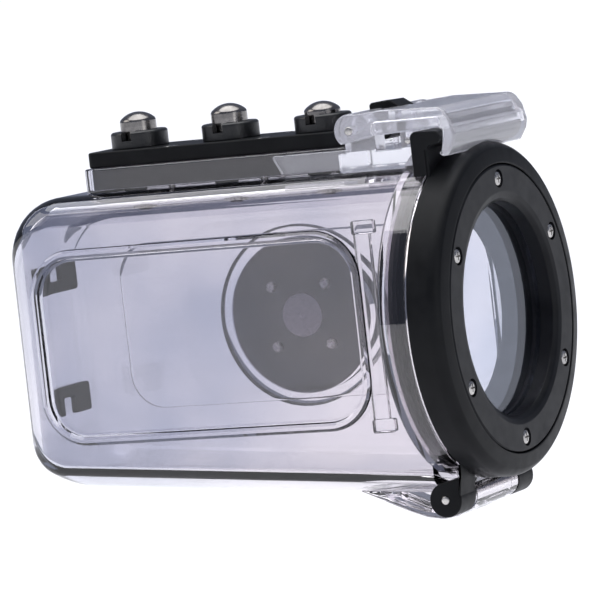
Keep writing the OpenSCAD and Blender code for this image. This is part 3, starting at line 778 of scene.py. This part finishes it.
# ---------------------------------------- the latch
def latch_carrier():
    """The clear bracket: two rails, ears for the pin, and two posts that face the door."""
    floor = BODY_TOP + 0.05
    rail_low = BODY_TOP + 0.8
    rail_high = BODY_TOP + 5.3
    post_front = -12.9
    pieces = []
    for side in (-1, 1):
        rail = [(PIVOT.x - 24, rail_high), (PIVOT.x - 21.6, rail_low),
                (PIVOT.x + 1, rail_low), (PIVOT.x + 1, rail_high)]
        y0, y1 = sorted((side * 11.7, side * 14.2))
        pieces.append(prism("rail", soften(rail, 0.6), "Y", y0, y1, 0.35))
        ear = arc((PIVOT.x, PIVOT.z), KNUCKLE_R, 0, 180, 20)
        ear += [(PIVOT.x - KNUCKLE_R, floor), (PIVOT.x + KNUCKLE_R, floor)]
        y0, y1 = sorted((side * EAR_IN, side * EAR_OUT))
        pieces.append(prism("ear", ear, "Y", y0, y1, 0.3))
        post = block("post", (-16.5, y0, floor), (post_front, y1, lever_high.z - 5.2), 0.7, "Y",
                     0.35)
        pieces.append(post)
    base = block("base", (plate_high.x + 0.6, -EAR_OUT, floor),
                 (post_front, EAR_OUT, floor + 4.6), 1.2, "Z", 0.4)
    joined(base, *pieces)
    holes = [rod("door_way", "X", (0, 0, 0), FLANGE_BACK - 0.05, 1, DOOR_R + 0.05, CRISP, 160),
             rod("pin_way", "Y", PIVOT, -30, 30, PIN_HOLE_R, CRISP, 32),
             rod("post_way", "Y", (POST_X, 0, POST_Z), -30, 30, 0.8, CRISP, 24)]
    carved(base, *holes)
    return settle(base, "latch_carrier", CLEAR_LATCH, "housing", ["latch_bracket"])


def swing_lever():
    """The clear lever: knuckles on the pin, a sloping plate, two cheeks and a hooked lip."""
    top = lever_high.z
    half = lever_high.y
    hook_r = lever_high.x - 3 - PIVOT.x
    cheek = 2.2
    outline = arc((PIVOT.x, PIVOT.z), KNUCKLE_R, 230, 70, 18)
    outline += [(PIVOT.x + 8, top + 0.25), (-3.2, top - 0.1), (-1.2, 45.7), (-0.35, 42.1),
                (-0.8, 40.2), (-1.9, 38.5), (-2.6, 37.4), (-4.0, 37.4), (-4.9, 38.2)]
    sweep = [math.degrees(math.atan2(z - PIVOT.z, math.sqrt(hook_r ** 2 - (z - PIVOT.z) ** 2)))
             for z in (38.6, 43.4)]
    outline += arc((PIVOT.x, PIVOT.z), hook_r, sweep[0], sweep[1], 6)
    outline += [(-4.6, 44.0), (PIVOT.x + 6, 43.3)]
    radii = [0] * 19 + [12, 3, 3, 2, 1.5, 1, 0.8, 0.8, 0.3] + [0] * 7 + [0.6, 6]
    lever = prism("lever", soften(outline, radii, 5), "Y", -half, half, 0.6, 4)
    inside = [(PIVOT.x + 4.9, 36), (-4.2, 36), (-4.2, top - cheek), (PIVOT.x + 4.9, top - cheek)]
    hollow = prism("hollow", soften(inside, 1.2), "Y", -half + cheek, half - cheek, 0.8, 4)
    slots = [block("slot", (PIVOT.x - 8, low, 34), (PIVOT.x + 9.2, high, 55), 1.2, "Y", CRISP)
             for low, high in ((-15.6, -9.6), (-4.2, 4.2), (9.6, 15.6))]
    hole = rod("hole", "Y", PIVOT, -30, 30, PIN_HOLE_R, CRISP, 32)
    crown = rod("crown", "X", (0, 0, 0), -DOOR_T, 3, DOOR_R + 0.3, CRISP, 160)
    carved(lever, hollow, *slots, hole, crown)
    return settle(lever, "swing_lever", CLEAR_LATCH, "lever", ["latch_lever"])


def safety_tab():
    """The black tab on the pin, with a finger edge and three grip grooves."""
    half = 3.9
    outline = [(-2.3, 3.2), (-1, 2.6), (3, 1.5), (6, 3.1), (5.4, 4), (3.2, 5.45), (-1.8, 5.2),
               (-2.3, 4.7)]
    outline = [(PIVOT.x + x, PIVOT.z + z) for x, z in outline]
    tab = prism("tab", soften(outline, 0.5), "Y", -half, half, 0.4)
    hub = rod("hub", "Y", PIVOT, -half, half, 3.6, 0.3)
    joined(tab, hub)
    grooves = [block("groove", (PIVOT.x + x, -5, PIVOT.z + 4.95),
                     (PIVOT.x + x + 0.35, 5, PIVOT.z + 7), 0.0, "Y", CRISP)
               for x in (-0.6, 0.8, 2.2)]
    hole = rod("hole", "Y", PIVOT, -5, 5, PIN_HOLE_R, CRISP, 32)
    room = rod("room", "Y", PIVOT, -2.9, 2.9, 2.3, 0.05, 48)
    carved(tab, *grooves, hole, room)
    return settle(tab, "safety_tab", BLACK, "lock", ["lock_tab"])


# ---------------------------------------- the window door
def door_frame():
    """The black ring with its spigot, its tapered tube, its catch and its hinge lugs."""
    seat = glass_low.x - 0.85
    tube_end = seat - 7.2
    shoulder_r = 3.4
    shoulder = arc((DOOR_R - shoulder_r, -DOOR_T + 5), shoulder_r, 0, 62, 8)
    groove = -DOOR_T - 2.4
    groove_half = 0.9
    groove_r = SPIGOT_R - 1.5
    spigot_end = -DOOR_T - 4.8
    spigot_in = SPIGOT_R - 3
    web = -DOOR_T + 0.5
    outline = [(WINDOW_R - 3, tube_end), (WINDOW_R, seat - 0.6), (WINDOW_R, seat),
               (glass_high.y + 0.05, seat), (glass_high.y + 0.05, BEZEL_REST),
               (BEZEL_R, BEZEL_REST), (BEZEL_R, -0.15), (BEZEL_R + 0.15, 0), (BEZEL_R + 0.5, 0)]
    outline += list(reversed(shoulder))
    outline += [(DOOR_R, -DOOR_T + 0.3), (DOOR_R - 0.3, -DOOR_T), (SPIGOT_R, -DOOR_T),
                (SPIGOT_R, groove + groove_half), (groove_r, groove + groove_half),
                (groove_r, groove - groove_half), (SPIGOT_R, groove - groove_half),
                (SPIGOT_R, -DOOR_T - 4.4), (SPIGOT_R - 0.4, spigot_end),
                (SPIGOT_R - 2.7, spigot_end), (spigot_in, -DOOR_T - 4.5),
                (spigot_in, web), (WINDOW_R + 1.5, web), (WINDOW_R - 1.5, tube_end)]
    ring = lathe("ring", outline, steps=192)
    lip_top = PIVOT.z - 1.4
    lip_low = lip_top - 3.4
    rib_back = -11.7
    rib_face = -7.6
    lip_front = -4.1
    rib_foot = 28
    rib = [(rib_back, rib_foot), (rib_face, rib_foot), (rib_face, lip_low), (lip_front, lip_low),
           (lip_front, lip_top - 0.2), (rib_back, lip_top)]
    half = lever_high.y
    catch = prism("catch", soften(rib, [0, 0, 1.1, 1.6, 1.7, 1.5]), "Y", -half, half, 0.35)
    scar = block("scar", (-8.3, -half - 1, rib_foot), (-7.8, -half + 0.25, 39.2), 0.1, "Z", 0.05)
    lug_in = 11.9
    lug_out = 20.3
    lugs = []
    for side in (-1, 1):
        y0, y1 = sorted((side * lug_in, side * lug_out))
        lugs.append(rod("lug", "Y", HINGE, y0, y1, LUG_R, 0.4))
        arm = [(HINGE.x - 0.8, HINGE.z), (HINGE.x + 3.7, HINGE.z), (HINGE.x + 5.5, HINGE.z + 12),
               (-DOOR_T, HINGE.z + 12), (-DOOR_T, HINGE.z + 5), (HINGE.x - 0.8, HINGE.z + 4)]
        lugs.append(prism("arm", soften(arm, [0, 0, 0, 0, 0.8, 0.8]), "Y", y0 + 0.03, y1 - 0.03,
                          0.4))
    inner = rod("inner", "X", (0, 0, 0), -13, 1, SPIGOT_R - 2.6, CRISP, 160)
    catch = carved(joined(catch, *lugs), scar, inner)
    clear = lathe("clear", [(SPIGOT_R - 0.4, FLANGE_BACK), (DOOR_R + 0.3, FLANGE_BACK),
                            (DOOR_R + 0.3, -DOOR_T + 0.03), (SPIGOT_R - 0.4, -DOOR_T + 0.03)],
                  steps=192)
    swing = rod("swing", "Y", HINGE, -lug_in, lug_in, LUG_R + 0.3, CRISP)
    carved(catch, clear, swing)
    joined(ring, catch)
    hole = rod("hole", "Y", HINGE, -30, 30, PIN_HOLE_R, CRISP, 32)
    threads = [rod("thread", "X", spot, BEZEL_REST - 2.8, BEZEL_REST + 1, BEZEL_THREAD_R,
                   CRISP, 24) for spot in screw_spots()]
    carved(ring, hole, *threads)
    return settle(ring, "door_frame", BLACK, "door", ["door_ring"], 32)


def screw_spots():
    """The six screw places, each (0, y, z) on the screw circle."""
    turns = [math.radians(60 * i) for i in range(6)]
    return [(0, -SCREW_CIRCLE_R * math.sin(a), SCREW_CIRCLE_R * math.cos(a)) for a in turns]


def bezel_ring():
    """The flat ring that clamps the glass, dished for each screw and rolled in to the window."""
    low = BEZEL_REST + BEZEL_REST_GAP
    outline = [(WINDOW_R, low), (BEZEL_R - 0.25, low), (BEZEL_R - 0.25, -0.4), (BEZEL_R - 0.65, 0),
               (WINDOW_R + 2.2, 0), (WINDOW_R + 0.9, -0.35), (WINDOW_R, -1.3)]
    ring = lathe("ring", soften(outline, [0, 0, 0.25, 0.3, 1.5, 1.2, 0.5], 4), steps=192)
    cuts = []
    for spot in screw_spots():
        cuts.append(rod("shank", "X", spot, low - 1, 1, BEZEL_THREAD_R, CRISP, 24))
        cuts.append(rod("dish", "X", spot, -1.1, 1, 2.15, CRISP, 48))
    carved(ring, *cuts)
    return settle(ring, "bezel_ring", BEZEL_BLACK, "door", ["front_bezel"], 32)


def window_glass():
    """The flat pane with ground and chamfered rims."""
    radius = glass_high.y
    low, high = glass_low.x, glass_high.x
    outline = [(POLE, high), (radius - 0.4, high), (radius, high - 0.4), (radius, low + 0.25),
               (radius - 0.25, low), (POLE, low)]
    pane = lathe("pane", outline, steps=160, ring=False)
    return settle(pane, "window_pane", PANE, "door", ["window_glass"], 20)


# ---------------------------------------- pins
def pin(name, node):
    """A turned pin with domed ends, where the CAD pin lies."""
    low, high = near(node)
    x = (low.x + high.x) / 2
    z = (low.z + high.z) / 2
    shaft = rod(name, "Y", (x, 0, z), low.y, high.y, PIN_R, 0.3 * PIN_R, 48)
    return settle(shaft, name, STEEL, "housing", [node])


def stub_pins():
    """The two short pins in the bracket's posts."""
    stub_r = 0.75
    made = []
    for side in (-1, 1):
        y0, y1 = sorted((side * EAR_IN, side * posts_high.y))
        made.append(rod("stub", "Y", (POST_X, 0, POST_Z), y0, y1, stub_r, 0.2, 32))
    return settle(gathered("stubs", made), "post_stubs", STEEL, "housing", ["post_pins"])


# ---------------------------------------- what repeats, by geometry nodes
def group(name, inputs):
    """A geometry node tree with named inputs and one geometry output."""
    tree = bpy.data.node_groups.new(name, "GeometryNodeTree")
    for label, kind in inputs:
        tree.interface.new_socket(label, in_out="INPUT", socket_type=kind)
    tree.interface.new_socket("Geometry", in_out="OUTPUT", socket_type="NodeSocketGeometry")
    return tree, add(tree, "NodeGroupInput").outputs, add(tree, "NodeGroupOutput")


def made_real(tree, geometry, given, out):
    """Ends a tree: its geometry is made real and given its material."""
    real = add(tree, "GeometryNodeRealizeInstances", (), Geometry=geometry)
    finish = add(tree, "GeometryNodeSetMaterial", (), Geometry=real.outputs["Geometry"],
                 Material=given["Finish"])
    tree.links.new(finish.outputs["Geometry"], out.inputs["Geometry"])
    return tree


def placed_tree():
    """Copies of a part on each point of a mesh, made real and given their material."""
    tree, given, out = group("placed_copies", [
        ("Points", "NodeSocketObject"), ("Part", "NodeSocketObject"),
        ("Turn", "NodeSocketVector"), ("Finish", "NodeSocketMaterial")])
    places = add(tree, "GeometryNodeObjectInfo", (), Object=given["Points"])
    part = add(tree, "GeometryNodeObjectInfo", (), Object=given["Part"])
    laid = add(tree, "GeometryNodeInstanceOnPoints", (), Points=places.outputs["Geometry"],
               Instance=part.outputs["Geometry"], Rotation=given["Turn"])
    return made_real(tree, laid.outputs["Instances"], given, out)


def coil_tree():
    """A spring: a helix swept with round wire, made real and given its material."""
    tree, given, out = group("spring_coil", [
        ("Turns", "NodeSocketFloat"), ("Radius", "NodeSocketFloat"), ("Length", "NodeSocketFloat"),
        ("Wire Radius", "NodeSocketFloat"), ("Finish", "NodeSocketMaterial")])
    helix = add(tree, "GeometryNodeCurveSpiral", {"Resolution": 32}, Rotations=given["Turns"],
                Start_Radius=given["Radius"], End_Radius=given["Radius"], Height=given["Length"])
    wire = add(tree, "GeometryNodeCurvePrimitiveCircle", {"Resolution": 10},
               Radius=given["Wire Radius"])
    swept = add(tree, "GeometryNodeCurveToMesh", {"Fill Caps": True}, Curve=helix.outputs["Curve"],
                Profile_Curve=wire.outputs["Curve"])
    return made_real(tree, swept.outputs["Mesh"], given, out)


def grown_from(tree, name, values):
    """A plain mesh object made by a node tree from these input values."""
    obj = in_scene(name, bpy.data.meshes.new(name))
    change = obj.modifiers.new("nodes", "NODES")
    change.node_group = tree
    for socket in tree.interface.items_tree:
        if socket.in_out == "INPUT":
            change[socket.identifier] = values[socket.name]
    return flattened(obj)


def spot_cloud(spots):
    """A mesh of loose points, one at each spot."""
    mesh = bpy.data.meshes.new("spots")
    mesh.from_pydata([tuple(s) for s in spots], [], [])
    return in_scene("spots", mesh)


def copies(tree, name, part, spots, turn, body, node):
    """Copies of a steel part at each spot, as one piece."""
    places = spot_cloud(spots)
    made = grown_from(tree, name, {"Points": places, "Part": part, "Turn": turn, "Finish": STEEL})
    bpy.data.objects.remove(places)
    bpy.data.objects.remove(part)
    return settle(made, name, STEEL, body, [node])


def cross_screw():
    """A small pan-head screw about Z, with a cross recess and thread ridges on its shank."""
    head = 1.8
    shank = 0.88
    crest = 0.9
    root = 0.66
    pitch = 0.4
    under = -1.08
    length = -screws_low.x
    along = -length + 1.4
    outline = [(POLE, -length + 0.6), (0.5, -length + 0.6), (crest, along)]
    while along < -3.2:
        outline += [(crest, along), (root, along + pitch / 2)]
        along += pitch
    outline += [(shank, -3.0), (shank, under), (head - 0.08, under), (head, -1.0), (head, -0.75)]
    outline += arc((head - 0.6, -0.73), 0.6, 0, 70, 6)[1:]
    outline += [(0.9, -0.09), (POLE, -0.03)]
    screw = lathe("screw", outline, "Z", steps=48, ring=False)
    arms = []
    for wide, deep in ((1.0, 0.2), (0.2, 1.0)):
        arms.append(block("arm", (-wide, -deep, -0.62), (wide, deep, 0.5), 0.12, "Z", CRISP))
    return carved(screw, joined(arms[0], arms[1]))


def socket_screw(head, shank, length, countersunk):
    """A hexagon socket screw about Z, with its head's top at zero."""
    under = -1.15 if countersunk else -1.3
    outline = [(POLE, -length), (shank - 0.25, -length), (shank, -length + 0.25), (shank, under)]
    if not countersunk:
        outline += [(head - 0.05, under), (head, under + 0.1)]
    outline += [(head, -0.15), (head - 0.15, 0), (POLE, 0)]
    screw = lathe("screw", outline, "Z", steps=48, ring=False)
    hexagon = arc((0, 0), shank * 0.85, 0, 300, 5)
    return carved(screw, prism("socket", hexagon, "Z", -0.75, 0.5, CRISP))


def fasteners_and_springs():
    """Screws and springs, each kind as copies by one tree."""
    placed = placed_tree()
    quarter = math.pi / 2
    copies(placed, "bezel_cross_screws", cross_screw(), screw_spots(), (0, quarter, 0), "door",
           "bezel_screws")
    face = disc_high.y - 0.3
    square = [(x, face, z) for x, z in MOUNT_SCREWS]
    reach = face - near("mount_screws")[0].y
    copies(placed, "disc_socket_screws", socket_screw(2.2, 1.25, reach, False), square,
           (-quarter, 0, 0), "housing", "mount_screws")
    seats = [(x, y, PLATE_Z - 0.05) for x, y in SCREW_SEATS]
    copies(placed, "bar_socket_screws", socket_screw(1.95, 0.9, 9.9, True), seats, (0, 0, 0),
           "housing", "plate_screws")
    coil = coil_tree()
    wire_r = 0.3
    for i in (1, 2, 3):
        low, high = near(f"button_spring_{i}")
        length = high.z - low.z
        spring = grown_from(coil, "spring", {
            "Turns": 5.0, "Radius": 2.45, "Length": length - 2 * wire_r, "Wire Radius": wire_r,
            "Finish": WIRE})
        spring.data.transform(Matrix.Translation((BUTTONS[i - 1], 0, low.z + wire_r)))
        settle(spring, f"cap_spring_{i}", WIRE, "housing", [f"button_spring_{i}"],
               60)
        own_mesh(spring)
    spring = grown_from(coil, "spring", {
        "Turns": 5.0, "Radius": 1.75, "Length": 4.8, "Wire Radius": 0.25, "Finish": WIRE})
    lie = Matrix.Translation(PIVOT + Vector((0, 2.4, 0))) @ Matrix.Rotation(quarter, 4, "X")
    spring.data.transform(lie)
    settle(spring, "tab_spring", WIRE, "lock", ["lock_spring"], 60)


def kept_nodes():
    """CAD nodes whose own shape is right, given their material."""
    wear = {"button_seals": RUBBER, "window_seal": RUBBER, "door_seal": RUBBER}
    wear.update({f"button_clip_{i}": STEEL for i in (1, 2, 3)})
    for node, finish in wear.items():
        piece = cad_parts[node]
        piece.data.materials.clear()
        piece.data.materials.append(finish)


# ---------------------------------------- stage, light and camera
def stage():
    """A wide pale floor, low enough for the window door to swing down and open above it."""
    drop = 0.052
    reach = 14.0
    rows = [[Vector((side * reach, along * reach, -drop)) for side in (-1, 1)] for along in (-1, 1)]
    bm = bmesh.new()
    near_edge, far_edge = [[bm.verts.new(p) for p in row] for row in rows]
    bm.faces.new((near_edge[0], near_edge[1], far_edge[1], far_edge[0]))
    floor = wrapped("studio_floor", bm)
    floor.data.materials.append(studio_paper())


def softbox(name, place, size, power, colour):
    """A rectangular area light that faces the object."""
    target = (0, 0, 0.05)
    light = bpy.data.lights.new(name, "AREA")
    light.shape = "RECTANGLE"
    light.size, light.size_y = size
    light.energy = power
    light.color = linear(colour)[:3]
    lamp = in_scene(name, light)
    lamp.location = place
    lamp.rotation_mode = "QUATERNION"
    lamp.rotation_quaternion = (Vector(target) - Vector(place)).to_track_quat("-Z", "Y")


def lighting():
    """A dim, cool surround under one wide soft overhead light, with a key and a side light."""
    world = bpy.data.worlds.new("studio_air")
    bpy.context.scene.world = world
    world.use_nodes = True
    air = world.node_tree.nodes["Background"]
    air.inputs["Color"].default_value = linear("#9aa1b6")
    air.inputs["Strength"].default_value = 0.55
    overhead = bpy.data.lights.new("overhead_light", "SUN")
    overhead.energy = 3.1
    overhead.angle = math.radians(70)
    in_scene("overhead_light", overhead)
    softbox("key_light", (-1.1, -0.5, 0.9), (0.9, 0.7), 4.5, "#fffaf4")
    softbox("side_light", (1.0, -0.5, 0.3), (0.4, 0.9), 1.2, "#ffffff")


def camera():
    """A long lens from the front right, a little above the object."""
    lens = bpy.data.cameras.new("camera")
    lens.lens = 297.94
    lens.sensor_width = 36.0
    lens.clip_start = 0.05
    lens.clip_end = 20.0
    view = in_scene("camera", lens)
    right = Vector((0.8868, 0.4482, -0.1125)).normalized()
    ahead = Vector((-0.4577, 0.8855, -0.0800)).normalized()
    up = right.cross(ahead).normalized()
    turn = Matrix((right, up, -ahead)).transposed()
    place = (0.5413, -1.0333, 0.1457)
    view.matrix_world = Matrix.Translation(place) @ turn.to_4x4()
    bpy.context.scene.camera = view


camera()
lighting()
stage()
housing_body()
mounting_disc()
threaded_insert()
rear_channels()
button_bar()
guide_collars()
for index in range(3):
    push_cap(index)
latch_carrier()
swing_lever()
safety_tab()
door_frame()
bezel_ring()
window_glass()
pin("hinge_pin_turned", "hinge_pin")
pin("lever_pin_turned", "lever_pin")
stub_pins()
fasteners_and_springs()
kept_nodes()
bpy.context.scene.view_settings.view_transform = "Standard"
